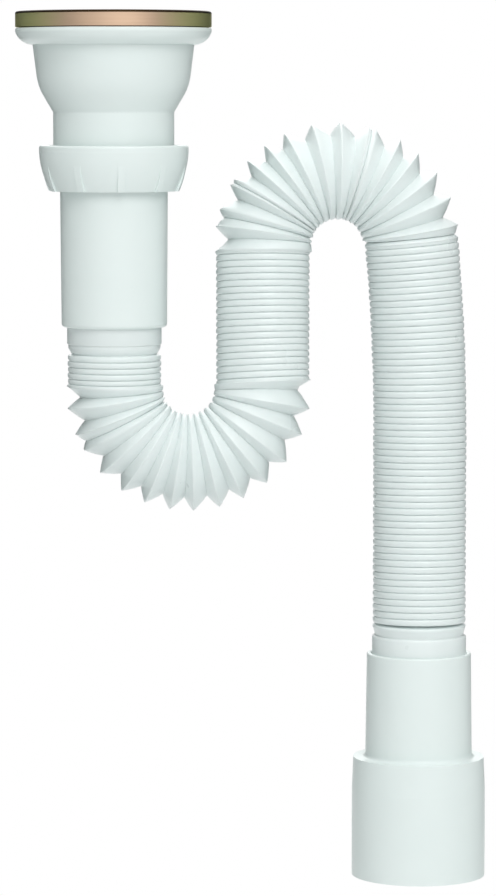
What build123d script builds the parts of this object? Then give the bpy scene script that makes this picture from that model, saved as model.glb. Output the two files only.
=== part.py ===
"""Sink waste trap: strainer outlet, union nut, bellows hose bent into an S, stepped end coupling."""
import os
from math import cos, radians, sin

from build123d import *

os.makedirs("parts", exist_ok=True)

# Millimetres. The origin is the centre of the outlet flange's top face, +Z is up, and the hose
# bends in the XZ plane towards +X. A drop is a distance down from the origin.

# Standard sizes: the spigot's pipe and the union's pipe thread
spigot_dia = 50.0
thread_depth = 1.48

# Fits
seat_clearance = 0.05
running_clearance = 0.3

# Strainer, pressed from sheet, with its screw and the two rubber rings that grip the sink
strainer_dia = 72.6
sheet = 0.8
sink_gasket = 2.65
skirt_gap = 0.3
dish_dia = 43.0
dish_depth = 5.6
dish_flare = 2.2
dimple_dia = 14.0
dimple_depth = 1.6
press_round = 1.4
rim_round = 0.5
drain_hole_dia = 5.2
inner_ring_dia = 23.8
inner_ring_holes = 6
outer_ring_dia = 35.2
outer_ring_holes = 12
screw_dia = 6.0
screw_head_dia = 11.6
screw_head = 2.6
screw_slot = 1.4
screw_past_nut = 2.0

# Outlet body
flange_width = 6.4
flange_edge = 1.4
flange_drop = 6.2
flange_bulge = 1.3
flange_round = 0.6
cup_taper = 1.9
cup_waist_drop = 21.5
cup_drop = 31.0
cup_round = 20.0
neck_round = 1.2
neck_drop = 52.4
body_wall = 2.4
hub_dia = 16.0
hub_height = 12.0
hub_drop = 46.0
spider_rib = 2.2
spider_height = 8.0
captive_across = 10.0
captive_height = 5.0

# Union nut, its gasket and the tailpiece that it holds
nut_drop = 43.2
nut_wall = 3.65
nut_low_wall = 0.83
nut_bulge = 0.9
nut_band = 2.6
nut_lip = 3.0
nut_round = 1.0
grip_ribs = 10
grip_start = -10.0
grip_width = 2.6
grip_height = 1.0
grip_root = 0.5
neck_gasket_height = 2.4
neck_gasket_bore = 36.0
collar_step = 2.27
collar_height = 2.2
tail_drop = 110.6
tail_draft = 0.4
tail_round = 1.4
tail_bore = 34.0

# Bellows hose: folds pressed shut in its three legs and opened on the outside of its two bends. The
# socket wall brings the tube round each cuff to the standard 40 mm outside.
cuff_dia = 35.2
cuff_wall = 1.0
upper_cuff_show = 7.7
lower_cuff_show = 9.5
cuff_waist_dia = 33.0
upper_cone = 3.6
lower_cone = 2.7
socket_depth = 18.0
socket_wall = 2.35
crest_dia = 35.0
bend_crest_dia = 36.4
root_dia = 25.8
hose_bore = 24.6
bend_radius = 27.6
bend_folds = 14
leg_1_pitch = 2.13
leg_1_folds = 5
leg_2_pitch = 2.44
leg_2_folds = 21
leg_3_pitch = 2.41
leg_3_lean = 5.5
leg_3_leaning_folds = 30
leg_3_upright_folds = 30
root_at = 0.25
crest_at = 0.65
open_wall = 0.8
shut_wall = 1.6

# End coupling
coupling_step_drop = 39.2
coupling_length = 84.0
coupling_wall = 2.2
coupling_draft = 0.5
coupling_draft_length = 12.0
coupling_round = 1.4
coupling_bore = 33.8

# Radii and heights worked out from the sizes above
strainer_r = strainer_dia / 2
sink_gasket_r = strainer_r - sheet - press_round
rim_top = 2 * sink_gasket + sheet
dish_floor = rim_top - dish_depth
dimple_floor = dish_floor - dimple_depth
screw_dome_r = (screw_head_dia**2 / 4 + screw_head**2) / (2 * screw_head)
cuff_r = cuff_dia / 2
socket_r = cuff_r + seat_clearance
tail_r = socket_r + socket_wall
collar_r = tail_r + collar_step
neck_r = collar_r + running_clearance / 2
neck_bore_r = neck_r - body_wall
nut_thread_r = neck_r + thread_depth + running_clearance / 2
nut_r = nut_thread_r + nut_wall
nut_low_r = collar_r + running_clearance + nut_low_wall
cup_r = strainer_r - flange_width
neck_gasket_top = -neck_drop - seat_clearance
collar_top = neck_gasket_top - neck_gasket_height - seat_clearance
lip_top = collar_top - collar_height - seat_clearance
nut_bottom = lip_top - nut_lip
hose_top = -tail_drop + socket_depth - seat_clearance
cuff_end = -tail_drop - upper_cuff_show


def ring(plane_z, outer_r, inner_r, height):
    """A flat ring that stands on the given height."""
    with BuildPart() as flat_ring:
        with BuildSketch(Plane.XY.offset(plane_z)):
            Circle(outer_r)
            Circle(inner_r, mode=Mode.SUBTRACT)
        extrude(amount=height)
    return flat_ring


# Strainer: a rim turned down at its edge, a dish with drain holes and a dimple for the screw head
with BuildPart() as strainer:
    with BuildSketch(Plane.XZ):
        with BuildLine():
            FilletPolyline(
                (screw_dia / 2 + running_clearance, dimple_floor - sheet / 2),
                (dimple_dia / 2, dimple_floor - sheet / 2),
                (dimple_dia / 2 + dimple_depth, dish_floor - sheet / 2),
                (dish_dia / 2, dish_floor - sheet / 2),
                (dish_dia / 2 + dish_flare, rim_top - sheet / 2),
                (strainer_r - sheet / 2, rim_top - sheet / 2),
                (strainer_r - sheet / 2, skirt_gap),
                radius=[sheet, sheet, press_round, press_round, rim_round],
            )
        trace(line_width=sheet)
    revolve(axis=Axis.Z)
    for ring_dia, ring_holes in ((inner_ring_dia, inner_ring_holes), (outer_ring_dia, outer_ring_holes)):
        with BuildSketch(Plane.XY.offset(dish_floor)):
            with PolarLocations(ring_dia / 2, ring_holes):
                Circle(drain_hole_dia / 2)
        extrude(amount=-2 * sheet, mode=Mode.SUBTRACT)
strainer.part.label = "strainer"
export_step(strainer.part, "parts/strainer.step")

# Rubber rings under the strainer's rim: the sink's edge goes between them
lower_gasket = ring(0, sink_gasket_r, cup_r - body_wall, sink_gasket)
lower_gasket.part.label = "lower_gasket"
export_step(lower_gasket.part, "parts/lower_gasket.step")

upper_gasket = ring(sink_gasket, sink_gasket_r, dish_dia / 2 + dish_flare + press_round, sink_gasket)
upper_gasket.part.label = "upper_gasket"
export_step(upper_gasket.part, "parts/upper_gasket.step")

# Outlet body: flange with a rounded underside, cup, neck and a four-ribbed spider with a hub
cup_outside = [
    (cup_r, -flange_drop),
    (cup_r - cup_taper, -cup_waist_drop),
    (neck_r, -cup_drop),
    (neck_r, -neck_drop),
]
cup_inside = [(r - body_wall, z) for r, z in cup_outside]
with BuildPart() as outlet_body:
    with BuildSketch(Plane.XZ):
        with BuildLine():
            outside = FilletPolyline(*cup_outside, radius=[cup_round, neck_round])
            inside = FilletPolyline(*cup_inside, radius=[cup_round, neck_round])
            Line(outside @ 1, inside @ 1)
            rim = FilletPolyline(
                inside @ 0,
                (cup_r - body_wall, 0),
                (strainer_r, 0),
                (strainer_r, -flange_edge),
                radius=[flange_round, flange_round],
            )
            SagittaArc(outside @ 0, rim @ 1, -flange_bulge)
        make_face()
    revolve(axis=Axis.Z)
    with BuildSketch(Plane.XY.offset(-hub_drop)):
        Circle(hub_dia / 2)
    extrude(amount=hub_height)
    with BuildSketch(Plane.XY.offset(-hub_drop)):
        with PolarLocations(0, 2, angular_range=180):
            Rectangle(2 * neck_bore_r + body_wall, spider_rib)
    extrude(amount=spider_height)
    with BuildSketch(Plane.XY.offset(-hub_drop)):
        RegularPolygon(captive_across / 2 + seat_clearance, 6, major_radius=False)
    extrude(amount=captive_height + seat_clearance, mode=Mode.SUBTRACT)
    with BuildSketch(Plane.XY.offset(-hub_drop)):
        Circle(screw_dia / 2 + running_clearance)
    extrude(amount=hub_height, mode=Mode.SUBTRACT)
outlet_body.part.label = "outlet_body"
export_step(outlet_body.part, "parts/outlet_body.step")

# Captive nut, pressed into the hub from below
with BuildPart() as captive_nut:
    with BuildSketch(Plane.XY.offset(-hub_drop)):
        RegularPolygon(captive_across / 2, 6, major_radius=False)
        Circle(screw_dia / 2 + seat_clearance, mode=Mode.SUBTRACT)
    extrude(amount=captive_height)
captive_nut.part.label = "captive_nut"
export_step(captive_nut.part, "parts/captive_nut.step")

# Clamp screw: domed slotted head in the strainer's dimple, plain shank down through the captive nut
with BuildPart() as clamp_screw:
    with BuildSketch(Plane.XZ):
        with BuildLine():
            dome = RadiusArc((0, dimple_floor + screw_head), (screw_head_dia / 2, dimple_floor), screw_dome_r)
            Polyline(
                dome @ 1,
                (screw_dia / 2, dimple_floor),
                (screw_dia / 2, -hub_drop - screw_past_nut),
                (0, -hub_drop - screw_past_nut),
                dome @ 0,
            )
        make_face()
    revolve(axis=Axis.Z)
    with BuildSketch(Plane.XY.offset(dimple_floor + screw_head)):
        Rectangle(screw_head_dia, screw_slot)
    extrude(amount=-screw_head / 2, mode=Mode.SUBTRACT)
clamp_screw.part.label = "clamp_screw"
export_step(clamp_screw.part, "parts/clamp_screw.step")

# Union nut: tapered round body with grip ribs that grow out of it towards the lip
with BuildPart() as union_nut:
    with BuildSketch(Plane.XZ):
        with BuildLine():
            crown = FilletPolyline(
                (nut_thread_r, -nut_drop),
                (nut_r, -nut_drop),
                (nut_r, -nut_drop - nut_band),
                radius=[nut_round],
            )
            SagittaArc(crown @ 1, (nut_low_r, nut_bottom), nut_bulge)
            Polyline(
                (nut_low_r, nut_bottom),
                (tail_r + running_clearance, nut_bottom),
                (tail_r + running_clearance, lip_top),
                (collar_r + running_clearance, lip_top),
                (collar_r + running_clearance, neck_gasket_top),
                (nut_thread_r, neck_gasket_top),
                crown @ 0,
            )
        make_face()
    revolve(axis=Axis.Z)
    with BuildSketch(Plane.XZ):
        with BuildLine():
            grip_top = (nut_r - grip_root, -nut_drop - nut_band)
            body_low = (nut_low_r - grip_root, nut_bottom)
            SagittaArc(grip_top, (nut_low_r + grip_height, nut_bottom), nut_bulge)
            Line((nut_low_r + grip_height, nut_bottom), body_low)
            SagittaArc(body_low, grip_top, -nut_bulge)
        make_face()
    grip = extrude(amount=grip_width / 2, both=True, mode=Mode.PRIVATE)
    with PolarLocations(0, grip_ribs, start_angle=grip_start):
        add(grip)
union_nut.part.label = "union_nut"
export_step(union_nut.part, "parts/union_nut.step")

# Flat rubber ring between the neck's end and the tailpiece's collar
neck_gasket = ring(
    neck_gasket_top - neck_gasket_height,
    neck_r - running_clearance,
    neck_gasket_bore / 2,
    neck_gasket_height,
)
neck_gasket.part.label = "neck_gasket"
export_step(neck_gasket.part, "parts/neck_gasket.step")

# Tailpiece: collar inside the nut, drafted tube, socket for the hose's upper cuff
with BuildPart() as tailpiece:
    with BuildSketch(Plane.XZ):
        with BuildLine():
            FilletPolyline(
                (tail_bore / 2, collar_top),
                (collar_r, collar_top),
                (collar_r, collar_top - collar_height),
                (tail_r, collar_top - collar_height),
                (tail_r - tail_draft, -tail_drop),
                (socket_r, -tail_drop),
                (socket_r, -tail_drop + socket_depth),
                (tail_bore / 2, -tail_drop + socket_depth),
                (tail_bore / 2, collar_top),
                radius=[0, 0, 0, 0, tail_round, 0, 0, 0],
            )
        make_face()
    revolve(axis=Axis.Z)
tailpiece.part.label = "tailpiece"
export_step(tailpiece.part, "parts/tailpiece.step")


def advance(x, z, heading, length, turn):
    """End of an arc that starts with a heading in degrees from straight down and turns towards +X."""
    half_turn = radians(turn) / 2
    chord = length * sin(half_turn) / half_turn if turn else length
    direction = radians(heading + turn / 2)
    return x + chord * sin(direction), z - chord * cos(direction), heading + turn


def hose_section(x, z, heading, outer_r, inner_r, inner_shift=0.0):
    """One ring of the hose wall, square to its path, with the bore moved sideways within the bend."""
    along = (sin(radians(heading)), 0, -cos(radians(heading)))
    sideways = (cos(radians(heading)), 0, sin(radians(heading)))
    with BuildSketch(Plane(origin=(x, 0, z), x_dir=sideways, z_dir=along)) as section:
        Circle(outer_r)
        with Locations((inner_shift, 0)):
            Circle(inner_r, mode=Mode.SUBTRACT)
    return section.sketch


# Bellows hose, one blow-moulded wall from cuff to cuff. Each run of folds is a count, the path length
# of one fold, the angle that it turns and whether it is opened. Shut folds lie wall to wall, so their
# bore is plain.
lower_turn = 180
upper_turn = leg_3_lean - 180
hose_runs = [
    (leg_1_folds, leg_1_pitch, 0, False),
    (bend_folds, bend_radius * radians(lower_turn) / bend_folds, lower_turn / bend_folds, True),
    (leg_2_folds, leg_2_pitch, 0, False),
    (bend_folds, bend_radius * radians(-upper_turn) / bend_folds, upper_turn / bend_folds, True),
    (leg_3_leaning_folds, leg_3_pitch, -leg_3_lean / leg_3_leaning_folds, False),
    (leg_3_upright_folds, leg_3_pitch, 0, False),
]
waist_r = cuff_waist_dia / 2
hose_sections = [
    hose_section(0, hose_top, 0, cuff_r, cuff_r - cuff_wall),
    hose_section(0, cuff_end, 0, cuff_r, cuff_r - cuff_wall),
    hose_section(0, cuff_end - upper_cone, 0, waist_r, waist_r - cuff_wall),
]
x, z, heading = 0, cuff_end - upper_cone, 0
for folds, length, turn, opened in hose_runs:
    run_crest_r = (bend_crest_dia if opened else crest_dia) / 2
    bore_shift = (open_wall - shut_wall) / 2 if turn > 0 else (shut_wall - open_wall) / 2
    for fold in range(folds):
        for share, fold_r in ((root_at, root_dia / 2), (crest_at, run_crest_r)):
            station = advance(x, z, heading, share * length, share * turn)
            if opened:
                open_bore_r = fold_r - (open_wall + shut_wall) / 2
                hose_sections.append(hose_section(*station, fold_r, open_bore_r, bore_shift))
            else:
                hose_sections.append(hose_section(*station, fold_r, hose_bore / 2))
        x, z, heading = advance(x, z, heading, length, turn)
coupling_x = x
coupling_top = z - lower_cuff_show
hose_bottom = coupling_top - socket_depth + seat_clearance
hose_sections += [
    hose_section(x, z - lower_cone, 0, waist_r, waist_r - cuff_wall),
    hose_section(x, z - lower_cone - cuff_wall / 2, 0, cuff_r, cuff_r - cuff_wall),
    hose_section(x, hose_bottom, 0, cuff_r, cuff_r - cuff_wall),
]
with BuildPart() as corrugated_hose:
    loft(hose_sections, ruled=True)
corrugated_hose.part.label = "corrugated_hose"
export_step(corrugated_hose.part, "parts/corrugated_hose.step")

# End coupling: sleeve with a socket for the lower cuff, a 40 mm step and a 50 mm spigot
coupling_plane = Plane(origin=(coupling_x, 0, coupling_top), x_dir=(1, 0, 0), z_dir=(0, -1, 0))
with BuildPart() as end_coupling:
    with BuildSketch(coupling_plane):
        with BuildLine():
            FilletPolyline(
                (socket_r, 0),
                (tail_r - coupling_draft, 0),
                (tail_r, -coupling_step_drop),
                (spigot_dia / 2 - coupling_draft, -coupling_step_drop),
                (spigot_dia / 2, -coupling_step_drop - coupling_draft_length),
                (spigot_dia / 2, -coupling_length),
                (spigot_dia / 2 - coupling_wall, -coupling_length),
                (spigot_dia / 2 - coupling_wall, -coupling_step_drop - 2 * coupling_wall),
                (coupling_bore / 2, -coupling_step_drop - coupling_wall),
                (coupling_bore / 2, -socket_depth),
                (socket_r, -socket_depth),
                (socket_r, 0),
                radius=[
                    coupling_round / 2,
                    coupling_round / 2,
                    coupling_round,
                    0,
                    coupling_round / 2,
                    0,
                    coupling_round,
                    coupling_round,
                    0,
                    0,
                    0,
                ],
            )
        make_face()
    revolve(axis=Axis((coupling_x, 0, 0), (0, 0, 1)))
end_coupling.part.label = "end_coupling"
export_step(end_coupling.part, "parts/end_coupling.step")
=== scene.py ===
"""Sink waste trap: strainer outlet, union nut, bellows hose bent into an S, stepped end coupling."""
import math

import bpy
import numpy
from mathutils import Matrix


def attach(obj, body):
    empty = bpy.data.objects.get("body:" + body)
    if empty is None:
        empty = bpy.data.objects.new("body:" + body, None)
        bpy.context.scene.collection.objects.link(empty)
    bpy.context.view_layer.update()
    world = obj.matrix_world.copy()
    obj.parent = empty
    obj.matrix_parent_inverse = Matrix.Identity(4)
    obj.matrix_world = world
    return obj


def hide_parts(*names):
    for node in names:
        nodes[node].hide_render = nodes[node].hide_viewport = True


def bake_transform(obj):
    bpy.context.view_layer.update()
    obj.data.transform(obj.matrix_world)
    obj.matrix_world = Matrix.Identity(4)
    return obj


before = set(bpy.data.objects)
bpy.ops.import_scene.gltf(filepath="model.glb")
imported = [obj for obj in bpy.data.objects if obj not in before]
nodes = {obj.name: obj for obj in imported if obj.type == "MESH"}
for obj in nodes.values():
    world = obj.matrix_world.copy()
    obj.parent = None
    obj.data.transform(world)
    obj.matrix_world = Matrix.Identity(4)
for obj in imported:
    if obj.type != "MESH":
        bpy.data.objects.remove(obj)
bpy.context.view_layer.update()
mm = 0.001

# OUTLET BODY
# The white cup under the sink, with the flange that the sink rests on and the neck for the union nut.
# Injection moulded in one shot of polypropylene; its four-ribbed spider holds the clamp screw's nut.


def linear(hex_colour):
    """An sRGB hex colour as the linear RGBA that a shader's socket takes."""
    channels = [int(hex_colour[i:i + 2], 16) / 255 for i in (1, 3, 5)]
    return [c / 12.92 if c <= 0.04045 else ((c + 0.055) / 1.055) ** 2.4 for c in channels] + [1.0]


def add_node(tree, kind, settings=None, inputs=None):
    """Adds a node with its settings; an input takes a value or the socket that feeds it."""
    added = tree.nodes.new(kind)
    for name, value in (settings or {}).items():
        setattr(added, name, value)
    for key, value in (inputs or {}).items():
        if isinstance(value, bpy.types.NodeSocket):
            tree.links.new(value, added.inputs[key])
        else:
            added.inputs[key].default_value = value
    return added


def new_surface(name):
    """An empty node material, its tree and the piece's own coordinates in metres."""
    surface = bpy.data.materials.new(name)
    surface.use_nodes = True
    surface.node_tree.nodes.clear()
    place = add_node(surface.node_tree, "ShaderNodeTexCoord").outputs["Object"]
    return surface, surface.node_tree, place


def moulded_polypropylene(name, body, cloud, roughness, depth, milk):
    """White polypropylene with a satin skin: a broad soft sheen over a faintly cloudy, milky body.

    The cloudiness is the resin's flow, some 22 mm across. The skin's ripple copies the steel mould's
    polish; 1.3 mm is coarser than the real one, so that it can show at all. Milk is the share of light
    that goes into the wall and comes out again nearby.
    """
    surface, tree, place = new_surface(name)
    flow = add_node(tree, "ShaderNodeTexNoise", None, {
        "Vector": place, "Scale": 1 / (22 * mm), "Detail": 3.0}).outputs["Fac"]
    ripple = add_node(tree, "ShaderNodeTexNoise", None, {
        "Vector": place, "Scale": 1 / (1.3 * mm), "Detail": 2.0}).outputs["Fac"]
    tint = add_node(tree, "ShaderNodeMix", {"data_type": "RGBA"}, {
        0: flow, 6: linear(body), 7: linear(cloud)})
    sheen = add_node(tree, "ShaderNodeMapRange", None, {
        "Value": flow, "From Min": 0.3, "From Max": 0.7,
        "To Min": roughness - 0.03, "To Max": roughness + 0.05})
    skin = add_node(tree, "ShaderNodeBump", None, {"Height": ripple, "Strength": 1.0, "Distance": depth})
    shader = add_node(tree, "ShaderNodeBsdfPrincipled", {"subsurface_method": "RANDOM_WALK"}, {
        "Base Color": tint.outputs[2], "Roughness": sheen.outputs["Result"],
        "Normal": skin.outputs["Normal"], "IOR": 1.49, "Specular IOR Level": 0.5,
        "Subsurface Weight": milk, "Subsurface Radius": (1.0, 1.0, 1.0), "Subsurface Scale": 1.2 * mm})
    add_node(tree, "ShaderNodeOutputMaterial", None, {"Surface": shader.outputs["BSDF"]})
    return surface


def dress(node_name, surface):
    """Gives a CAD piece its finish and leaves its shape alone."""
    for material_slot in nodes[node_name].material_slots:
        material_slot.material = surface


white_polypropylene = moulded_polypropylene(
    "white_polypropylene", body="#EBF4F2", cloud="#E6F0EE", roughness=0.34, depth=0.004 * mm, milk=0.12)
dress("outlet_body", white_polypropylene)

# NECK THREAD
# A right-hand pipe thread, 11 turns to the inch, moulded round the outlet's neck. The union nut covers
# it when it is tight. One ridge that swells from a point at each end, made by a rule along a helix.
neck_radius = 22.42
ridge_sunk = 0.2
ridge_height = 1.4
ridge_half_width = 1.0
ridge_steps = 216
ridge_points = 5
thread_lead = 2.309
thread_low = -51.2
thread_turns = 3.0


def add_inputs(tree, kind, values):
    """Gives a node tree named inputs of one kind and returns their values by identifier."""
    given = {}
    for name, value in values.items():
        socket = tree.interface.new_socket(name, in_out="INPUT", socket_type=kind)
        given[socket.identifier] = value
    return given


def draw_line(curve, places, heights):
    """Draws a curve node's line through the given points, with straight runs between them."""
    points = curve.mapping.curves[0].points
    points[0].location = (places[0], heights[0])
    points[1].location = (places[-1], heights[-1])
    for place, height in zip(places[1:-1], heights[1:-1]):
        points.new(place, height)
    for point in points:
        point.handle_type = "VECTOR"
    curve.mapping.update()


ridge_tree = bpy.data.node_groups.new("thread_ridge", "GeometryNodeTree")
ridge_tree.interface.new_socket("Geometry", in_out="OUTPUT", socket_type="NodeSocketGeometry")
ridge_sizes = add_inputs(ridge_tree, "NodeSocketFloat", {
    "Neck radius": neck_radius * mm,
    "Ridge height": ridge_height * mm,
    "Ridge half width": ridge_half_width * mm,
    "Lead": thread_lead * mm,
    "Lowest turn": thread_low * mm,
    "Turns": thread_turns,
})
ridge_sizes |= add_inputs(ridge_tree, "NodeSocketMaterial", {"Material": white_polypropylene})
sizes = add_node(ridge_tree, "NodeGroupInput").outputs
strip = add_node(ridge_tree, "GeometryNodeMeshGrid", None, {
    "Vertices X": ridge_steps + 1, "Vertices Y": ridge_points})
index = add_node(ridge_tree, "GeometryNodeInputIndex").outputs["Index"]
column = add_node(ridge_tree, "FunctionNodeIntegerMath", {"operation": "DIVIDE_FLOOR"}, {
    0: index, 1: ridge_points}).outputs[0]
row = add_node(ridge_tree, "FunctionNodeIntegerMath", {"operation": "MODULO"}, {
    0: index, 1: ridge_points}).outputs[0]
# The ridge grows to its full size over the first tenth of its length and fades over the last tenth
along_ridge = add_node(ridge_tree, "ShaderNodeMath", {"operation": "DIVIDE"}, {
    0: column, 1: ridge_steps}).outputs[0]
swell = add_node(ridge_tree, "ShaderNodeFloatCurve", None, {"Factor": 1.0, "Value": along_ridge})
draw_line(swell, (0.0, 0.1, 0.9, 1.0), (0.0, 1.0, 1.0, 0.0))
# Across the ridge: root, flat top, root and back to the start, with both roots inside the neck's wall
across_ridge = add_node(ridge_tree, "ShaderNodeMath", {"operation": "DIVIDE"}, {
    0: row, 1: ridge_points - 1}).outputs[0]
quarters = (0.0, 0.25, 0.5, 0.75, 1.0)
side = add_node(ridge_tree, "ShaderNodeFloatCurve", None, {"Factor": 1.0, "Value": across_ridge})
draw_line(side, quarters, (0.0, 0.38, 0.62, 1.0, 0.0))
rise = add_node(ridge_tree, "ShaderNodeFloatCurve", None, {"Factor": 1.0, "Value": across_ridge})
draw_line(rise, quarters, (0.0, 1.0, 1.0, 0.0, 0.0))
from_middle = add_node(ridge_tree, "ShaderNodeMapRange", {"clamp": False}, {
    "Value": side.outputs["Value"], "To Min": -1.0, "To Max": 1.0}).outputs["Result"]
offset = add_node(ridge_tree, "ShaderNodeMath", {"operation": "MULTIPLY"}, {
    0: from_middle, 1: sizes["Ridge half width"]}).outputs[0]
offset = add_node(ridge_tree, "ShaderNodeMath", {"operation": "MULTIPLY"}, {
    0: offset, 1: swell.outputs["Value"]}).outputs[0]
height = add_node(ridge_tree, "ShaderNodeMath", {"operation": "MULTIPLY"}, {
    0: rise.outputs["Value"], 1: sizes["Ridge height"]}).outputs[0]
height = add_node(ridge_tree, "ShaderNodeMath", {"operation": "MULTIPLY"}, {
    0: height, 1: swell.outputs["Value"]}).outputs[0]
root = add_node(ridge_tree, "ShaderNodeMath", {"operation": "SUBTRACT"}, {
    0: sizes["Neck radius"], 1: ridge_sunk * mm}).outputs[0]
radius = add_node(ridge_tree, "ShaderNodeMath", {"operation": "ADD"}, {0: root, 1: height}).outputs[0]
turned = add_node(ridge_tree, "ShaderNodeMath", {"operation": "MULTIPLY"}, {
    0: along_ridge, 1: sizes["Turns"]}).outputs[0]
angle = add_node(ridge_tree, "ShaderNodeMath", {"operation": "MULTIPLY"}, {
    0: turned, 1: math.tau}).outputs[0]
climb = add_node(ridge_tree, "ShaderNodeMath", {"operation": "MULTIPLY_ADD"}, {
    0: turned, 1: sizes["Lead"], 2: sizes["Lowest turn"]}).outputs[0]
cosine = add_node(ridge_tree, "ShaderNodeMath", {"operation": "COSINE"}, {0: angle}).outputs[0]
sine = add_node(ridge_tree, "ShaderNodeMath", {"operation": "SINE"}, {0: angle}).outputs[0]
ridge_x = add_node(ridge_tree, "ShaderNodeMath", {"operation": "MULTIPLY"}, {
    0: cosine, 1: radius}).outputs[0]
ridge_y = add_node(ridge_tree, "ShaderNodeMath", {"operation": "MULTIPLY"}, {0: sine, 1: radius}).outputs[0]
ridge_z = add_node(ridge_tree, "ShaderNodeMath", {"operation": "ADD"}, {0: climb, 1: offset}).outputs[0]
point_place = add_node(ridge_tree, "ShaderNodeCombineXYZ", None, {"X": ridge_x, "Y": ridge_y, "Z": ridge_z})
wound = add_node(ridge_tree, "GeometryNodeSetPosition", None, {
    "Geometry": strip.outputs["Mesh"], "Position": point_place.outputs["Vector"]})
joined = add_node(ridge_tree, "GeometryNodeMergeByDistance", None, {
    "Geometry": wound.outputs["Geometry"], "Distance": 0.002 * mm})
real = add_node(ridge_tree, "GeometryNodeRealizeInstances", None, {"Geometry": joined.outputs["Geometry"]})
painted = add_node(ridge_tree, "GeometryNodeSetMaterial", None, {
    "Geometry": real.outputs["Geometry"], "Material": sizes["Material"]})
add_node(ridge_tree, "NodeGroupOutput", None, {"Geometry": painted.outputs["Geometry"]})


def grow(name, tree, values, start_mesh):
    """Runs a node tree with its named sizes and leaves the result as a plain mesh."""
    piece = bpy.data.objects.new(name, start_mesh)
    bpy.context.scene.collection.objects.link(piece)
    maker = piece.modifiers.new(name, "NODES")
    maker.node_group = tree
    for identifier, value in values.items():
        maker[identifier] = value
    evaluated = piece.evaluated_get(bpy.context.evaluated_depsgraph_get())
    grown = bpy.data.meshes.new_from_object(evaluated)
    piece.modifiers.clear()
    piece.data = grown
    grown.name = name
    return piece


neck_thread = grow("neck_thread", ridge_tree, ridge_sizes, bpy.data.meshes.new("thread_start"))
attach(neck_thread, "outlet")

# CAPTIVE NUT
# A brass hexagon nut pressed into the hub from below; the clamp screw draws on it.
# Turned from drawn bar and never polished, so its brass is a little dull.


def turned_brass():
    """Turned brass bar: warm yellow, dulled in patches some 3 mm across."""
    surface, tree, place = new_surface("turned_brass")
    patches = add_node(tree, "ShaderNodeTexNoise", None, {
        "Vector": place, "Scale": 1 / (3 * mm), "Detail": 4.0}).outputs["Fac"]
    tint = add_node(tree, "ShaderNodeMix", {"data_type": "RGBA"}, {
        0: patches, 6: linear("#C9A663"), 7: linear("#B08D4E")})
    dull = add_node(tree, "ShaderNodeMapRange", None, {"Value": patches, "To Min": 0.25, "To Max": 0.5})
    shader = add_node(tree, "ShaderNodeBsdfPrincipled", None, {
        "Base Color": tint.outputs[2], "Roughness": dull.outputs["Result"], "Metallic": 1.0})
    add_node(tree, "ShaderNodeOutputMaterial", None, {"Surface": shader.outputs["BSDF"]})
    return surface


dress("captive_nut", turned_brass())

# SINK GASKETS
# Two flat black rubber rings that grip the sink's edge, the lower one on the outlet's flange.
# Die cut from sheet that was pressed against cloth, which leaves a fine grain.


def sheet_rubber():
    """Black rubber sheet: matt, a little grey with bloom, with a fine 0.8 mm grain."""
    surface, tree, place = new_surface("sheet_rubber")
    bloom = add_node(tree, "ShaderNodeTexNoise", None, {
        "Vector": place, "Scale": 1 / (9 * mm), "Detail": 4.0}).outputs["Fac"]
    grain = add_node(tree, "ShaderNodeTexNoise", None, {
        "Vector": place, "Scale": 1 / (0.8 * mm), "Detail": 2.0}).outputs["Fac"]
    tint = add_node(tree, "ShaderNodeMix", {"data_type": "RGBA"}, {
        0: bloom, 6: linear("#1B1C1C"), 7: linear("#303231")})
    skin = add_node(tree, "ShaderNodeBump", None, {"Height": grain, "Strength": 1.0, "Distance": 0.03 * mm})
    dull = add_node(tree, "ShaderNodeMapRange", None, {"Value": bloom, "To Min": 0.6, "To Max": 0.85})
    shader = add_node(tree, "ShaderNodeBsdfPrincipled", None, {
        "Base Color": tint.outputs[2], "Roughness": dull.outputs["Result"],
        "Normal": skin.outputs["Normal"], "IOR": 1.52})
    add_node(tree, "ShaderNodeOutputMaterial", None, {"Surface": shader.outputs["BSDF"]})
    return surface


black_rubber = sheet_rubber()
dress("lower_gasket", black_rubber)
dress("upper_gasket", black_rubber)

# STRAINER
# A dish with drain holes whose turned-down rim holds the sink from above.
# Pressed from one disc of sheet metal, brass toned, and polished as it spun.


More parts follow.
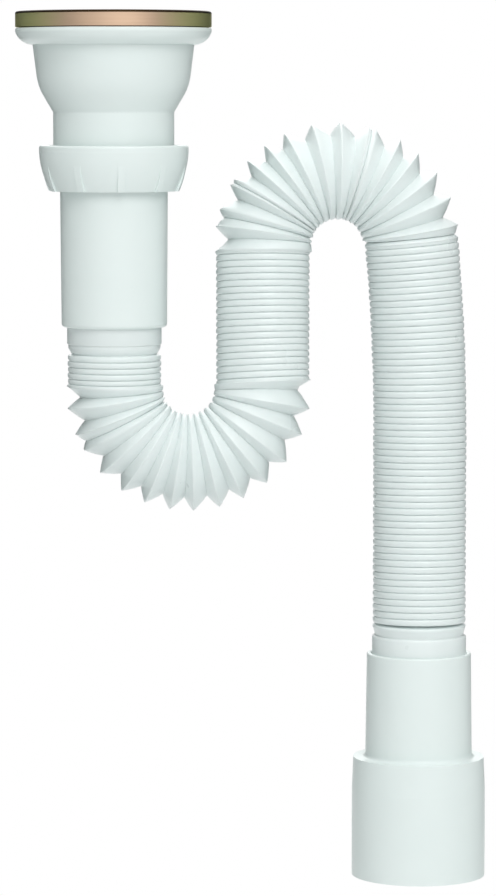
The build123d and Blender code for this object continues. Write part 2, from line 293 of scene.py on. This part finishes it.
def spun_brass():
    """Polished brass-toned sheet: soft reflections drawn out along fine rings of polish.

    The rings are some 0.9 mm apart, coarser than the real polish, so that they show. The tan colour has a
    painted olive reflection towards its two sides along X, and a painted dark reflection along the rim's
    upper edge.
    """
    surface, tree, place = new_surface("spun_brass")
    parts = add_node(tree, "ShaderNodeSeparateXYZ", None, {"Vector": place})
    flat = add_node(tree, "ShaderNodeCombineXYZ", None, {"X": parts.outputs["X"], "Y": parts.outputs["Y"]})
    reach = add_node(tree, "ShaderNodeVectorMath", {"operation": "LENGTH"}, {0: flat.outputs["Vector"]})
    around = add_node(tree, "ShaderNodeMath", {"operation": "ARCTAN2"}, {
        0: parts.outputs["Y"], 1: parts.outputs["X"]}).outputs[0]
    drawn_out = add_node(tree, "ShaderNodeMath", {"operation": "MULTIPLY"}, {
        0: around, 1: 1.5 * mm}).outputs[0]
    along_rings = add_node(tree, "ShaderNodeCombineXYZ", None, {
        "X": reach.outputs["Value"], "Y": drawn_out, "Z": parts.outputs["Z"]})
    rings = add_node(tree, "ShaderNodeTexNoise", None, {
        "Vector": along_rings.outputs["Vector"], "Scale": 1 / (0.9 * mm), "Detail": 3.0}).outputs["Fac"]
    tan = add_node(tree, "ShaderNodeMix", {"data_type": "RGBA"}, {
        0: rings, 6: linear("#C9AE96"), 7: linear("#BCA088")})
    # Painted reflection: the tan colour turns olive towards the two sides along X
    sideways = add_node(tree, "ShaderNodeMath", {"operation": "ABSOLUTE"}, {
        0: parts.outputs["X"]}).outputs[0]
    painted_side_reflection = add_node(tree, "ShaderNodeMapRange", {"interpolation_type": "SMOOTHSTEP"}, {
        "Value": sideways, "From Min": 14 * mm, "From Max": 33 * mm})
    tint = add_node(tree, "ShaderNodeMix", {"data_type": "RGBA"}, {
        0: painted_side_reflection.outputs["Result"], 6: tan.outputs[2], 7: linear("#C8C78C")})
    # Painted dark reflection: a near-black line along the rim's upper rounded edge
    high = add_node(tree, "ShaderNodeMapRange", None, {
        "Value": parts.outputs["Z"], "From Min": 5.0 * mm, "From Max": 5.3 * mm})
    outermost = add_node(tree, "ShaderNodeMapRange", None, {
        "Value": reach.outputs["Value"], "From Min": 35.2 * mm, "From Max": 35.5 * mm})
    edge = add_node(tree, "ShaderNodeMath", {"operation": "MULTIPLY"}, {
        0: high.outputs["Result"], 1: outermost.outputs["Result"]}).outputs[0]
    painted_rim_reflection = add_node(tree, "ShaderNodeMix", {"data_type": "RGBA"}, {
        0: edge, 6: tint.outputs[2], 7: linear("#2C2012")})
    polish = add_node(tree, "ShaderNodeMapRange", None, {"Value": rings, "To Min": 0.34, "To Max": 0.5})
    skin = add_node(tree, "ShaderNodeBump", None, {"Height": rings, "Strength": 1.0, "Distance": 0.006 * mm})
    shader = add_node(tree, "ShaderNodeBsdfPrincipled", None, {
        "Base Color": painted_rim_reflection.outputs[2], "Roughness": polish.outputs["Result"],
        "Normal": skin.outputs["Normal"], "Metallic": 1.0})
    add_node(tree, "ShaderNodeOutputMaterial", None, {"Surface": shader.outputs["BSDF"]})
    return surface


dress("strainer", spun_brass())

# CLAMP SCREW
# A slotted screw with a domed head that draws the strainer down onto the sink.
# Stainless steel, turned from bar, so tool marks run round it.


def turned_stainless():
    """Turned stainless steel: cool grey, with rings of tool marks that blur its reflections.

    The rings are some 3 mm apart, coarser than real ones, so that they show.
    """
    surface, tree, place = new_surface("turned_stainless")
    marks = add_node(tree, "ShaderNodeTexWave", {"wave_type": "RINGS", "rings_direction": "Z"}, {
        "Vector": place, "Scale": 1 / (10 * mm), "Distortion": 1.0, "Detail": 2.0}).outputs["Fac"]
    tint = add_node(tree, "ShaderNodeMix", {"data_type": "RGBA"}, {
        0: marks, 6: linear("#C7C9C8"), 7: linear("#B4B7B7")})
    polish = add_node(tree, "ShaderNodeMapRange", None, {"Value": marks, "To Min": 0.2, "To Max": 0.34})
    shader = add_node(tree, "ShaderNodeBsdfPrincipled", None, {
        "Base Color": tint.outputs[2], "Roughness": polish.outputs["Result"], "Metallic": 1.0})
    add_node(tree, "ShaderNodeOutputMaterial", None, {"Surface": shader.outputs["BSDF"]})
    return surface


dress("clamp_screw", turned_stainless())

# NECK GASKET
# A third flat rubber ring, squeezed between the neck's end and the tailpiece's collar.
# Cut from the same black sheet as the sink gaskets.
dress("neck_gasket", black_rubber)

# UNION NUT
# The tapered ring with ten grip ribs that pulls the tailpiece up against the neck.
# Moulded of the same white polypropylene as the outlet.
dress("union_nut", white_polypropylene)

# TAILPIECE
# A plain tube with a collar inside the union nut and a socket below for the hose's cuff.
# Moulded of the same white polypropylene, with a slight draft.
dress("tailpiece", white_polypropylene)

# CORRUGATED HOSE
# A bellows bent into an S that holds the water seal: folds shut in its three legs and opened on the
# outside of its two bends, with a plain cuff at each end. One blow-moulded wall of white polypropylene.
# Radii, heights and lengths in millimetres, and the third leg's lean in degrees
cuff_radius = 17.6
cuff_wall = 1.0
waist_radius = 16.5
crest_radius = 17.5
bend_crest_radius = 18.2
root_radius = 12.9
bore_radius = 12.3
hose_top = -92.65
cuff_end = -117.0
upper_cone = 3.6
lower_cone = 2.7
hose_bottom = -250.604
bend_radius = 27.6
lean = 5.5
leg_1_length = 13.1
leg_2_length = 53.6
leg_3_length = 145.8
# Stations along one fold, from root to root, and the wall's share of the way from root to crest there.
# Shut folds are broad beads that all but touch; folds drawn open have straight walls and a narrow crest.
crest_at = 0.40
fold_stations = (0.0, 0.022, 0.06, 0.13, 0.24, 0.365, crest_at, 0.435, 0.56, 0.76, 0.90, 0.965)
shut_shape = (0.79, 0.865, 0.925, 0.966, 0.99, 1.0, 1.0, 1.0, 0.997, 0.976, 0.94, 0.875)
open_shape = (0.0, 0.045, 0.14, 0.32, 0.595, 0.91, 0.985, 0.935, 0.73, 0.40, 0.165, 0.05)

# Path length and turn in degrees towards +X of the legs and bends, from the top down. The third leg
# leans out from the upper bend and comes upright halfway down.
path_runs = [
    (leg_1_length, 0),
    (bend_radius * math.pi, 180),
    (leg_2_length, 0),
    (bend_radius * math.radians(180 - lean), lean - 180),
    (leg_3_length / 2, -lean),
    (leg_3_length / 2, 0),
]
lower_bend_at = leg_1_length
leg_2_at = lower_bend_at + path_runs[1][0]
upper_bend_at = leg_2_at + leg_2_length
leg_3_at = upper_bend_at + path_runs[3][0]
hose_end = leg_3_at + leg_3_length
# Path length at each fold's crest. The bends were drawn open by hand, so their folds lie at uneven
# angles, given in degrees round each bend, and two pairs in the upper bend have stayed shut.
leg_1_crests = [1.15, 3.35, 5.55, 7.75, 9.95, 11.75]
lower_bend_folds = (9.1, 21.9, 29.9, 43.4, 56.5, 68.6, 80.8, 92.0, 104.5, 116.5, 129.7, 143.0, 157.9, 170.6)
leg_2_folds = 21
leg_2_start = 2.6
leg_2_pitch = 2.405
upper_bend_folds = (
    8.7, 16.5, 29.4, 31.7, 42.9, 53.6, 64.4, 78.0, 91.2, 104.9, 107.6, 120.7, 131.2, 144.1, 157.3, 170.6)
leg_3_folds = 60
leg_3_start = 0.65
leg_3_pitch = 2.43
crests = list(leg_1_crests)
crests += [lower_bend_at + bend_radius * math.radians(angle) for angle in lower_bend_folds]
crests += [leg_2_at + leg_2_start + leg_2_pitch * fold for fold in range(leg_2_folds)]
crests += [upper_bend_at + bend_radius * math.radians(angle) for angle in upper_bend_folds]
bends_end = len(crests)
crests += [leg_3_at + leg_3_pitch * (fold + leg_3_start) for fold in range(leg_3_folds)]
last_fold = len(crests) - 1
first_root_before_crest = 0.9
roots = [crests[0] - first_root_before_crest]
roots += [crest + (1 - crest_at) * (after - crest) for crest, after in zip(crests, crests[1:])]
# Distance between two crests at which the fold between them is shut, and at which it is fully open
shut_gap = 2.6
open_gap = 5.0
# The rings of the second leg rise a little towards the right at its foot, and those of the second and
# third legs stand higher in front than behind, as they settled when the hose was bent. Both in degrees.
foot_rise = 3.0
settled_before_end = 30.0
settle_at = (0.0, lower_bend_at, leg_2_at, upper_bend_at, leg_3_at, hose_end - settled_before_end, hose_end)
settle = (0.0, 0.0, 5.0, 5.0, 0.0, -2.5, -2.0)


def advance(x, z, heading, length, turn):
    """End of an arc that starts with a heading in degrees from straight down and turns towards +X."""
    half_turn = math.radians(turn) / 2
    chord = length * math.sin(half_turn) / half_turn if turn else length
    direction = math.radians(heading + turn / 2)
    return x + chord * math.sin(direction), z - chord * math.cos(direction), heading + turn


def hose_place(along):
    """Centre and heading of the hose's path at a length along it."""
    x, z, heading = 0.0, cuff_end - upper_cone, 0.0
    for length, turn in path_runs[:-1]:
        if along <= length:
            return advance(x, z, heading, along, turn * along / length)
        x, z, heading = advance(x, z, heading, length, turn)
        along -= length
    return advance(x, z, heading, along, 0)


def plain_ring(x, z, radius):
    """One level ring of a cuff as a mesh point's values."""
    return x, z, 0.0, 0.0, radius, 0.0, 0.0


def ring_at(along, fold, radius, gap):
    """One ring of the wall as a mesh point's values; a radius of 0 leaves it to the fold's own shape."""
    x, z, heading = hose_place(along)
    if leg_2_at <= along <= upper_bend_at:
        heading += foot_rise * (upper_bend_at - along) / leg_2_length
    opened = min(max((gap - shut_gap) / (open_gap - shut_gap), 0.0), 1.0)
    centre_side = opened if along < leg_2_at + leg_2_length / 2 else -opened
    slant = -math.tan(math.radians(numpy.interp(along, settle_at, settle)))
    return x, z, heading, fold, radius, centre_side, slant


def wall_section(first, last, before, after):
    """Rings of the wall along the path, outside downwards and bore back up, as a mesh of loose points.

    Before and after are the plain rings of a cuff.
    """
    section = list(before[0])
    for fold in range(first, last):
        crest = crests[fold]
        for station in fold_stations:
            if station <= crest_at:
                along = roots[fold] + (crest - roots[fold]) * station / crest_at
                gap = crest - crests[fold - 1]
            else:
                along = crest + (roots[fold + 1] - crest) * (station - crest_at) / (1 - crest_at)
                gap = crests[fold + 1] - crest
            section.append(ring_at(along, fold + station, 0.0, gap))
    section.append(ring_at(roots[last], last, root_radius, 0.0))
    section += after
    for fold in range(last, first - 1, -1):
        section.append(ring_at(roots[fold], 0.0, bore_radius, 0.0))
    section += before[1]
    section.append(section[0])
    start = bpy.data.meshes.new("hose_section")
    start.from_pydata([(ring[0] * mm, 0.0, ring[1] * mm) for ring in section], [], [])
    for name, column, unit in (
        ("heading", 2, math.pi / 180),
        ("fold", 3, 1.0),
        ("radius", 4, mm),
        ("centre_side", 5, 1.0),
        ("slant", 6, 1.0),
    ):
        values = start.attributes.new(name, "FLOAT", "POINT").data
        for value, ring in zip(values, section):
            value.value = ring[column] * unit
    return start


blown_polypropylene = moulded_polypropylene(
    "blown_polypropylene", body="#EBF3F2", cloud="#E6EFEE", roughness=0.3, depth=0.003 * mm, milk=0.35)

# The tree lays a grid along the section's points and wraps it round the path, a column for each angle
bellows_tree = bpy.data.node_groups.new("bellows_wall", "GeometryNodeTree")
bellows_tree.interface.new_socket("Geometry", in_out="OUTPUT", socket_type="NodeSocketGeometry")
bellows_tree.interface.new_socket("Section", in_out="INPUT", socket_type="NodeSocketGeometry")
bellows_sizes = add_inputs(bellows_tree, "NodeSocketInt", {"Ring points": 72, "Seed": 4})
bellows_sizes |= add_inputs(bellows_tree, "NodeSocketFloat", {
    "Crest radius": crest_radius * mm,
    "Bend crest radius": bend_crest_radius * mm,
    "Root radius": root_radius * mm,
    "Unevenness": 0.22 * mm,
})
bellows_sizes |= add_inputs(bellows_tree, "NodeSocketMaterial", {"Material": blown_polypropylene})
sizes = add_node(bellows_tree, "NodeGroupInput").outputs
stations = add_node(bellows_tree, "GeometryNodeAttributeDomainSize", {"component": "MESH"}, {
    0: sizes["Section"]}).outputs["Point Count"]
columns = add_node(bellows_tree, "FunctionNodeIntegerMath", {"operation": "ADD"}, {
    0: sizes["Ring points"], 1: 1}).outputs[0]
sheet = add_node(bellows_tree, "GeometryNodeMeshGrid", None, {"Vertices X": columns, "Vertices Y": stations})
index = add_node(bellows_tree, "GeometryNodeInputIndex").outputs["Index"]
column = add_node(bellows_tree, "FunctionNodeIntegerMath", {"operation": "DIVIDE_FLOOR"}, {
    0: index, 1: stations}).outputs[0]
row = add_node(bellows_tree, "FunctionNodeIntegerMath", {"operation": "MODULO"}, {
    0: index, 1: stations}).outputs[0]
taken = {}
for name in ("heading", "fold", "radius", "centre_side", "slant"):
    attribute = add_node(bellows_tree, "GeometryNodeInputNamedAttribute", {"data_type": "FLOAT"}, {
        "Name": name}).outputs["Attribute"]
    taken[name] = add_node(
        bellows_tree, "GeometryNodeSampleIndex", {"data_type": "FLOAT", "domain": "POINT"}, {
            "Geometry": sizes["Section"], "Value": attribute, "Index": row}).outputs["Value"]
centre = add_node(bellows_tree, "GeometryNodeSampleIndex", {"data_type": "FLOAT_VECTOR", "domain": "POINT"}, {
    "Geometry": sizes["Section"],
    "Value": add_node(bellows_tree, "GeometryNodeInputPosition").outputs["Position"],
    "Index": row}).outputs["Value"]
part = add_node(bellows_tree, "ShaderNodeMath", {"operation": "DIVIDE"}, {
    0: column, 1: sizes["Ring points"]}).outputs[0]
angle = add_node(bellows_tree, "ShaderNodeMath", {"operation": "MULTIPLY"}, {
    0: part, 1: math.tau}).outputs[0]
sideways = add_node(bellows_tree, "ShaderNodeMath", {"operation": "COSINE"}, {0: angle}).outputs[0]
deep = add_node(bellows_tree, "ShaderNodeMath", {"operation": "SINE"}, {0: angle}).outputs[0]
# A bend's folds are open on its outside and shut on its inside; a leg's folds are shut all round
bent = add_node(bellows_tree, "ShaderNodeMath", {"operation": "ABSOLUTE"}, {
    0: taken["centre_side"]}).outputs[0]
inward = add_node(bellows_tree, "ShaderNodeMath", {"operation": "MULTIPLY"}, {
    0: taken["centre_side"], 1: sideways}).outputs[0]
outward = add_node(bellows_tree, "ShaderNodeMath", {"operation": "MULTIPLY_ADD"}, {
    0: inward, 1: -0.5, 2: 0.5}).outputs[0]
opened = add_node(bellows_tree, "ShaderNodeMath", {"operation": "MULTIPLY"}, {
    0: bent, 1: outward}).outputs[0]
# Radius of a folded point: root plus a share of the fold's depth, with each crest a little uneven
within = add_node(bellows_tree, "ShaderNodeMath", {"operation": "FRACT"}, {0: taken["fold"]}).outputs[0]
root_to_root = fold_stations + (1.0,)
shut = add_node(bellows_tree, "ShaderNodeFloatCurve", None, {"Factor": 1.0, "Value": within})
draw_line(shut, root_to_root, shut_shape + shut_shape[:1])
drawn_open = add_node(bellows_tree, "ShaderNodeFloatCurve", None, {"Factor": 1.0, "Value": within})
draw_line(drawn_open, root_to_root, open_shape + open_shape[:1])
share = add_node(bellows_tree, "ShaderNodeMix", {"data_type": "FLOAT"}, {
    0: opened, 2: shut.outputs["Value"], 3: drawn_open.outputs["Value"]})
number = add_node(bellows_tree, "ShaderNodeMath", {"operation": "FLOOR"}, {0: taken["fold"]}).outputs[0]
short = add_node(bellows_tree, "FunctionNodeRandomValue", {"data_type": "FLOAT"}, {
    "Min": 0.0, "Max": sizes["Unevenness"], "ID": number, "Seed": sizes["Seed"]})
full = add_node(bellows_tree, "ShaderNodeMix", {"data_type": "FLOAT"}, {
    0: bent, 2: sizes["Crest radius"], 3: sizes["Bend crest radius"]})
crest = add_node(bellows_tree, "ShaderNodeMath", {"operation": "SUBTRACT"}, {
    0: full.outputs[0], 1: short.outputs[1]}).outputs[0]
depth = add_node(bellows_tree, "ShaderNodeMath", {"operation": "SUBTRACT"}, {
    0: crest, 1: sizes["Root radius"]}).outputs[0]
folded = add_node(bellows_tree, "ShaderNodeMath", {"operation": "MULTIPLY_ADD"}, {
    0: share.outputs[0], 1: depth, 2: sizes["Root radius"]}).outputs[0]
plain = add_node(bellows_tree, "FunctionNodeCompare", {"data_type": "FLOAT", "operation": "GREATER_THAN"}, {
    0: taken["radius"], 1: 0.1 * mm})
radius = add_node(bellows_tree, "GeometryNodeSwitch", {"input_type": "FLOAT"}, {
    "Switch": plain.outputs["Result"], "False": folded, "True": taken["radius"]}).outputs[0]
# Each point goes round its centre in the plane square to the path, and slides along it as its ring settled
level = add_node(bellows_tree, "ShaderNodeMath", {"operation": "COSINE"}, {0: taken["heading"]}).outputs[0]
tilt = add_node(bellows_tree, "ShaderNodeMath", {"operation": "SINE"}, {0: taken["heading"]}).outputs[0]
across = add_node(bellows_tree, "ShaderNodeMath", {"operation": "MULTIPLY"}, {
    0: sideways, 1: level}).outputs[0]
raised = add_node(bellows_tree, "ShaderNodeMath", {"operation": "MULTIPLY"}, {
    0: sideways, 1: tilt}).outputs[0]
around = add_node(bellows_tree, "ShaderNodeCombineXYZ", None, {"X": across, "Y": deep, "Z": raised})
reach = add_node(bellows_tree, "ShaderNodeVectorMath", {"operation": "SCALE"}, {
    0: around.outputs["Vector"], "Scale": radius}).outputs["Vector"]
downward = add_node(bellows_tree, "ShaderNodeMath", {"operation": "MULTIPLY"}, {
    0: level, 1: -1.0}).outputs[0]
onward = add_node(bellows_tree, "ShaderNodeCombineXYZ", None, {"X": tilt, "Z": downward})
behind = add_node(bellows_tree, "ShaderNodeSeparateXYZ", None, {"Vector": reach}).outputs["Y"]
slide = add_node(bellows_tree, "ShaderNodeMath", {"operation": "MULTIPLY"}, {
    0: behind, 1: taken["slant"]}).outputs[0]
settled = add_node(bellows_tree, "ShaderNodeVectorMath", {"operation": "SCALE"}, {
    0: onward.outputs["Vector"], "Scale": slide})
ring_place = add_node(bellows_tree, "ShaderNodeVectorMath", {"operation": "ADD"}, {
    0: reach, 1: settled.outputs["Vector"]})
placed = add_node(bellows_tree, "ShaderNodeVectorMath", {"operation": "ADD"}, {
    0: centre, 1: ring_place.outputs["Vector"]})
wrapped = add_node(bellows_tree, "GeometryNodeSetPosition", None, {
    "Geometry": sheet.outputs["Mesh"], "Position": placed.outputs["Vector"]})
joined = add_node(bellows_tree, "GeometryNodeMergeByDistance", None, {
    "Geometry": wrapped.outputs["Geometry"], "Distance": 0.005 * mm})
outside_out = add_node(bellows_tree, "GeometryNodeFlipFaces", None, {"Mesh": joined.outputs["Geometry"]})
smooth = add_node(bellows_tree, "GeometryNodeSetShadeSmooth", None, {"Geometry": outside_out.outputs["Mesh"]})
real = add_node(bellows_tree, "GeometryNodeRealizeInstances", None, {"Geometry": smooth.outputs["Geometry"]})
painted = add_node(bellows_tree, "GeometryNodeSetMaterial", None, {
    "Geometry": real.outputs["Geometry"], "Material": sizes["Material"]})
add_node(bellows_tree, "NodeGroupOutput", None, {"Geometry": painted.outputs["Geometry"]})

# The upper cuff ends in a groove and a cone that leads to the first fold
cone_end = cuff_end - upper_cone
upper_cuff = [
    plain_ring(0.0, z, radius)
    for z, radius in (
        (hose_top, cuff_radius - 0.3),
        (hose_top - 0.3, cuff_radius),
        (cuff_end + 0.4, cuff_radius),
        (cuff_end + 0.15, cuff_radius - 0.1),
        (cuff_end - 0.05, cuff_radius - 0.55),
        (cuff_end - 0.3, cuff_radius - 0.4),
        (cuff_end - 1.3, cuff_radius - 0.45),
        (cuff_end - 2.0, cuff_radius - 0.8),
        (cone_end + 0.8, waist_radius - 0.1),
        (cone_end + 0.2, waist_radius - 0.6),
        (cone_end, waist_radius - 0.8),
    )
]
upper_cuff_bore = [
    plain_ring(0.0, z, radius)
    for z, radius in (
        (cone_end + 2.0, waist_radius - cuff_wall),
        (cuff_end + 1.0, cuff_radius - cuff_wall),
        (hose_top, cuff_radius - cuff_wall),
    )
]
# The last fold runs out below its crest in a cone, and a step leads to the lower cuff
lower_x, lower_z = hose_place(hose_end)[:2]
lower_cuff = [
    plain_ring(lower_x, lower_z + height, radius)
    for height, radius in (
        (1.7, root_radius + 1.2),
        (1.55, root_radius + 2.9),
        (1.3, crest_radius - 0.6),
        (1.05, crest_radius - 0.2),
        (0.8, crest_radius - 0.05),
        (0.5, crest_radius - 0.05),
        (0.2, crest_radius - 0.2),
        (0.4 - lower_cone, waist_radius + 0.1),
        (-lower_cone, waist_radius),
        (-lower_cone - 0.2, cuff_radius - 0.45),
        (-lower_cone - 0.45, cuff_radius - 0.12),
        (-lower_cone - 0.8, cuff_radius),
        (hose_bottom + 0.3 - lower_z, cuff_radius),
        (hose_bottom - lower_z, cuff_radius - 0.3),
        (hose_bottom - lower_z, cuff_radius - cuff_wall),
        (-lower_cone - 2.0, cuff_radius - cuff_wall),
        (-lower_cone + 1.0, waist_radius - cuff_wall),
    )
]
bends_start = wall_section(0, bends_end, (upper_cuff, upper_cuff_bore), [])
hose_bends = grow("hose_bends", bellows_tree, bellows_sizes, bends_start)
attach(hose_bends, "hose")
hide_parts("corrugated_hose")

# The last leg is its own mesh, because its folds draw open between the hose and the coupling
leg_start = wall_section(bends_end, last_fold, ([], []), lower_cuff)
hose_leg = grow("hose_leg", bellows_tree, bellows_sizes, leg_start)
leg_x, leg_z = hose_place(roots[bends_end + 1])[:2]
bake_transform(hose_leg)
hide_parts("corrugated_hose")

# END COUPLING
# A stepped sleeve: its socket takes the hose's lower cuff, and its 50 mm spigot goes into the waste pipe.
# Moulded of the same white polypropylene.
dress("end_coupling", white_polypropylene)

# STUDIO
# A white card below the hanging trap, low enough for its hose drawn out, in an even white room. Soft
# lamps stand in front, above and behind, and a grey cloth hangs on each side. The camera is level with
# the cup and looks slightly down.
scene = bpy.context.scene
scene.view_settings.view_transform = "Standard"
white = (1.0, 1.0, 1.0, 1.0)
room_fill = 0.335


def seen_white(tree):
    """1 for rays that see the background: from the camera, a mirror or through something clear."""
    path = add_node(tree, "ShaderNodeLightPath").outputs
    mirror = add_node(tree, "ShaderNodeMath", {"operation": "MAXIMUM"}, {
        0: path["Is Camera Ray"], 1: path["Is Glossy Ray"]}).outputs[0]
    return add_node(tree, "ShaderNodeMath", {"operation": "MAXIMUM"}, {
        0: mirror, 1: path["Is Transmission Ray"]}).outputs[0]


room = bpy.data.worlds.new("white_room")
room.use_nodes = True
room.node_tree.nodes.clear()
room_strength = add_node(room.node_tree, "ShaderNodeMapRange", None, {
    "Value": seen_white(room.node_tree), "To Min": room_fill, "To Max": 1.0})
room_light = add_node(room.node_tree, "ShaderNodeBackground", None, {
    "Color": white, "Strength": room_strength.outputs["Result"]})
add_node(room.node_tree, "ShaderNodeOutputWorld", None, {"Surface": room_light.outputs["Background"]})
scene.world = room

# White card on the ground: it takes the trap's shadow and fades to plain white away from it
card_radius = 8.0
card_corners = 64
floor_place = (0.05, 0.0, -0.562)
card, card_tree, card_place = new_surface("white_card")
card_paper = add_node(card_tree, "ShaderNodeBsdfDiffuse", None, {"Color": linear("#F8F9F9")})
card_glow = add_node(card_tree, "ShaderNodeEmission", None, {"Color": white, "Strength": 1.0})
card_reach = add_node(card_tree, "ShaderNodeVectorMath", {"operation": "LENGTH"}, {0: card_place})
card_fade = add_node(card_tree, "ShaderNodeMapRange", {"interpolation_type": "SMOOTHSTEP"}, {
    "Value": card_reach.outputs["Value"], "From Min": 0.35, "From Max": 0.95})
card_share = add_node(card_tree, "ShaderNodeMath", {"operation": "MULTIPLY"}, {
    0: card_fade.outputs["Result"], 1: seen_white(card_tree)}).outputs[0]
card_mix = add_node(card_tree, "ShaderNodeMixShader", None, {
    "Fac": card_share, 1: card_paper.outputs["BSDF"], 2: card_glow.outputs["Emission"]})
add_node(card_tree, "ShaderNodeOutputMaterial", None, {"Surface": card_mix.outputs["Shader"]})
card_rim = []
for corner in range(card_corners):
    turn = corner * math.tau / card_corners
    card_rim.append((card_radius * math.cos(turn), card_radius * math.sin(turn), 0.0))
card_mesh = bpy.data.meshes.new("floor")
card_mesh.from_pydata(card_rim, [], [tuple(range(card_corners))])
card_mesh.materials.append(card)
floor = bpy.data.objects.new("floor", card_mesh)
floor.location = floor_place
scene.collection.objects.link(floor)

# Grey cloths hung on both sides, out of the picture and darker towards the back, so that white edges
# stand off the white ground
cloth_front = -0.6
cloth_darkest = 1.0
cloth_back = 2.2
cloth_low = -0.47
cloth_high = 0.5
for cloth_name, cloth_x, near_grey, far_grey in (
    ("left_cloth", -0.5, "#DDE2E1", "#222A29"),
    ("right_cloth", 0.6, "#F0F3F2", "#323B39"),
):
    cloth, cloth_tree, cloth_place = new_surface(cloth_name)
    depth_in = add_node(cloth_tree, "ShaderNodeSeparateXYZ", None, {"Vector": cloth_place}).outputs["Y"]
    cloth_fade = add_node(cloth_tree, "ShaderNodeMapRange", {"interpolation_type": "SMOOTHSTEP"}, {
        "Value": depth_in, "From Min": cloth_front, "From Max": cloth_darkest})
    cloth_tint = add_node(cloth_tree, "ShaderNodeMix", {"data_type": "RGBA"}, {
        0: cloth_fade.outputs["Result"], 6: linear(near_grey), 7: linear(far_grey)})
    cloth_face = add_node(cloth_tree, "ShaderNodeBsdfDiffuse", None, {"Color": cloth_tint.outputs[2]})
    add_node(cloth_tree, "ShaderNodeOutputMaterial", None, {"Surface": cloth_face.outputs["BSDF"]})
    cloth_corners = [
        (cloth_x, cloth_front, cloth_low),
        (cloth_x, cloth_back, cloth_low),
        (cloth_x, cloth_back, cloth_high),
        (cloth_x, cloth_front, cloth_high),
    ]
    cloth_mesh = bpy.data.meshes.new(cloth_name)
    cloth_mesh.from_pydata(cloth_corners, [], [(0, 1, 2, 3)])
    cloth_mesh.materials.append(cloth)
    hanging = bpy.data.objects.new(cloth_name, cloth_mesh)
    hanging.visible_camera = False
    hanging.visible_shadow = False
    scene.collection.objects.link(hanging)

# Each lamp's place and size in metres and its power in watts; all face the middle of the trap
trap_middle = (0.05, 0.0, -0.16)
for lamp_name, lamp_place, lamp_size, lamp_power in (
    ("front_lamp", (0.45, -1.7, 1.15), 1.4, 24.0),
    ("top_lamp", (-0.1, 0.1, 1.7), 2.4, 18.0),
    ("back_lamp", (-0.2, 1.9, 0.9), 1.4, 8.0),
):
    lamp = bpy.data.lights.new(lamp_name, "AREA")
    lamp.shape = "SQUARE"
    lamp.size = lamp_size
    lamp.energy = lamp_power
    lamp_stand = bpy.data.objects.new(lamp_name, lamp)
    lamp_stand.location = lamp_place
    gaze = [target - start for target, start in zip(trap_middle, lamp_place)]
    lamp_stand.rotation_euler = (
        math.atan2(math.hypot(gaze[0], gaze[1]), -gaze[2]), 0.0, math.atan2(gaze[1], gaze[0]) - math.pi / 2)
    scene.collection.objects.link(lamp_stand)

look_down = 5.156
lens = bpy.data.cameras.new("camera")
lens.sensor_fit = "VERTICAL"
lens.sensor_height = 36.0
lens.lens = 156.8
lens.clip_end = 50.0
camera = bpy.data.objects.new("camera", lens)
camera.location = (49.7 * mm, -1.45, -25.0 * mm)
camera.rotation_euler = (math.radians(90 - look_down), 0.0, 0.0)
scene.collection.objects.link(camera)
scene.camera = camera
